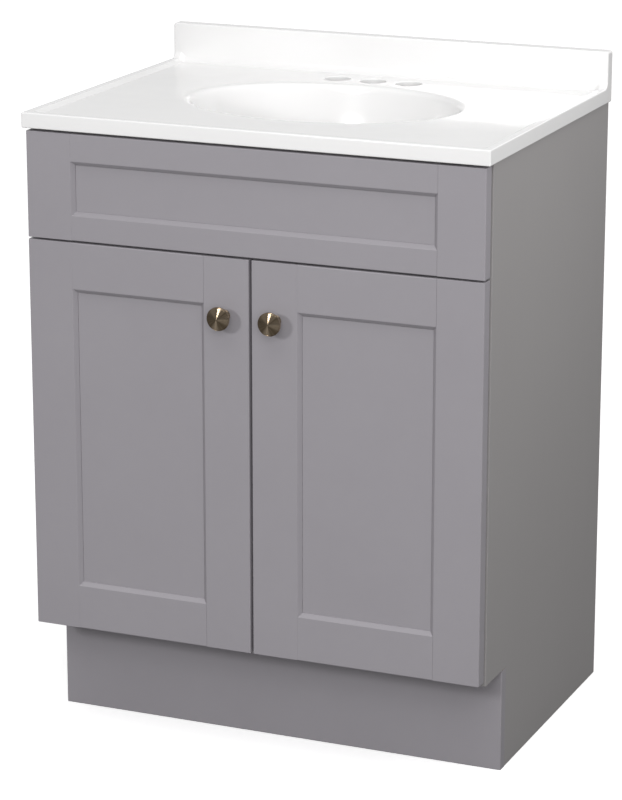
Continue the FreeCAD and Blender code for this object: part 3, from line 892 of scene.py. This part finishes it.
# boards and fronts: how far their edges are eased, and which way a faced side looks
board = {
    "frontEase": 0.00065,
    "boardEase": 0.0003,
    "sideEase": 0.0010,
    "sideEaseSteps": 3,
    "flatAngle": 0.5,
    "wrapTilt": 0.25,
    "insideTilt": 0.7,
    "edgeTilt": 0.3,
    "railTilt": 0.5,
    "endTilt": 0.2,
}


def easedCopy(node, width, segments=2):
    # a clean copy of a CAD node: merged, flats made whole, edges eased
    piece = bpy.data.objects.new(node, nodes[node].data.copy())
    bpy.context.collection.objects.link(piece)
    piece.data.materials.clear()
    activate(piece)
    bpy.ops.object.mode_set(mode="EDIT")
    bpy.ops.mesh.select_all(action="SELECT")
    bpy.ops.mesh.remove_doubles(threshold=tiny)
    bpy.ops.mesh.dissolve_limited(angle_limit=math.radians(board["flatAngle"]))
    bpy.ops.object.mode_set(mode="OBJECT")
    for attribute in ("sharp_face", "custom_normal"):
        if attribute in piece.data.attributes:
            piece.data.attributes.remove(piece.data.attributes[attribute])
    easeEdges(piece, width, segments)
    smooth(piece)
    return piece


def camelName(node):
    words = node.split("_")
    return words[0] + "".join(word.capitalize() for word in words[1:])


def makeFront(node):
    piece = easedCopy(node, board["frontEase"])
    piece.data.materials.append(finishes["grey_paint"])
    handOver(piece, camelName(node), node)


def makeSidePanel(node):
    # foil outside and round the front edge, white inside, raw on the rest
    piece = easedCopy(node, board["sideEase"], board["sideEaseSteps"])
    low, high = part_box(node)
    outward = 1 if low.x + high.x > 0 else -1
    for name in ("grey_foil", "white_board", "rawBoard"):
        piece.data.materials.append(finishes[name])
    for face in piece.data.polygons:
        out = face.normal.x * outward
        atFront = face.center.y < low.y + 2 * board["sideEase"]
        if out > board["wrapTilt"] or (atFront and face.normal.y < -board["wrapTilt"]):
            face.material_index = 0
        elif out < -board["insideTilt"]:
            face.material_index = 1
        else:
            face.material_index = 2
    handOver(piece, camelName(node), node)


def makeBoard(node, finish, faced):
    # a board of the box: finished on its two large sides and where it is faced, raw on the rest
    piece = easedCopy(node, board["boardEase"])
    low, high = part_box(node)
    size = high - low
    thin = min(range(3), key=lambda i: size[i])
    piece.data.materials.append(finishes[finish])
    piece.data.materials.append(finishes["rawBoard"])
    for face in piece.data.polygons:
        face.material_index = 0 if abs(face.normal[thin]) > 0.5 or faced(face.normal) else 1
    handOver(piece, camelName(node), node)


fronts = [node for node in sorted(nodes)
          if node.startswith(("drawer_front_", "left_door_", "right_door_"))
          and node.endswith(("_left", "_right", "_top", "_bottom", "_panel"))]
for node in fronts:
    makeFront(node)
for node in ("side_panel_left", "side_panel_right"):
    makeSidePanel(node)
tilt = board["edgeTilt"]
makeBoard("toe_kick_board", "grey_paint", lambda n: n.y < -tilt or abs(n.x) > tilt)
makeBoard("floor_panel", "white_board", lambda n: n.y < -tilt)
for node in ("front_top_rail", "front_mid_rail", "back_top_rail", "back_bottom_rail"):
    makeBoard(node, "white_board", lambda n: abs(n.z) > board["railTilt"] and abs(n.x) < board["endTilt"])
print("boards and fronts made:", len(fronts))


# hinges, screws, dowels, brackets, spacers and bumpers keep their shape and get their finish
def finishFitting(piece, finish):
    if not piece.material_slots:
        piece.data.materials.append(None)
    for holder in piece.material_slots:
        holder.link = "OBJECT"
        holder.material = finish


slotOf = {part["node"]: part["material_slot"] for part in frame["record"]["subparts"]}
fittings = sorted(name for name, piece in nodes.items() if not piece.hide_render)
for name in fittings:
    finishFitting(nodes[name], finishes[slotOf[name]])
print("fittings finished:", len(fittings))
